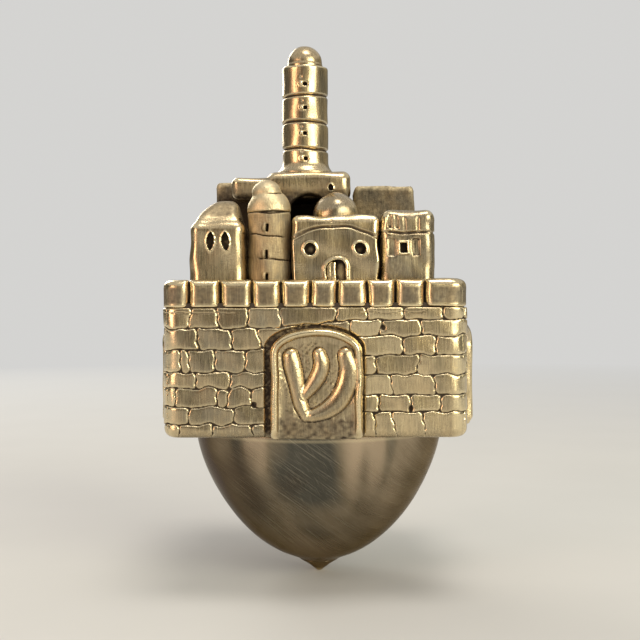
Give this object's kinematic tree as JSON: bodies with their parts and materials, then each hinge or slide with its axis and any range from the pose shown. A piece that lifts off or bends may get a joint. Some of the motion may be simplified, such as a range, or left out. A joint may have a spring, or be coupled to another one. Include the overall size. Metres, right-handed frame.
{
  "type": "dreidel",
  "caption": "Four-sided spinning top shaped as a walled city, with a round hollow bowl below, an arched letter gate on each wall and a ringed round tower as its handle.",
  "frame": {"origin": "the spin tip, on the ground, in the middle of the four walls", "axes": "+Z along the spin axis towards the handle; -Y out of the front wall, which has the gate with the shin; +X to the right seen from the front"},
  "size_m": [0.0358, 0.0358, 0.0624],
  "materials": {
    "satin_silver": "warm silver, satin with fine turning scratches",
    "cast_silver": "warm cast silver, polished on its edges, dark patina in its grooves",
    "dark_silver": "oxidised silver, dull"
  },
  "bodies": {
    "root": {"bowl": "satin_silver", "spin_point": "satin_silver", "base_plate": "dark_silver", "wall_front": "cast_silver", "wall_right": "cast_silver", "wall_back": "cast_silver", "wall_left": "cast_silver", "gate_shin": "cast_silver", "gate_hei": "cast_silver", "gate_gimel": "cast_silver", "gate_nun": "cast_silver", "deck": "dark_silver", "left_house": "cast_silver", "round_tower": "cast_silver", "domed_hall": "cast_silver", "hall_dome": "cast_silver", "right_keep": "cast_silver", "citadel": "cast_silver", "tower_shaft": "cast_silver", "tower_cap": "cast_silver", "side_house_right": "cast_silver", "side_house_left": "cast_silver", "rear_keep": "cast_silver", "rear_hall": "cast_silver", "rear_dome": "cast_silver", "rear_round_tower": "cast_silver", "rear_house": "cast_silver"}
  },
  "joints": []
}
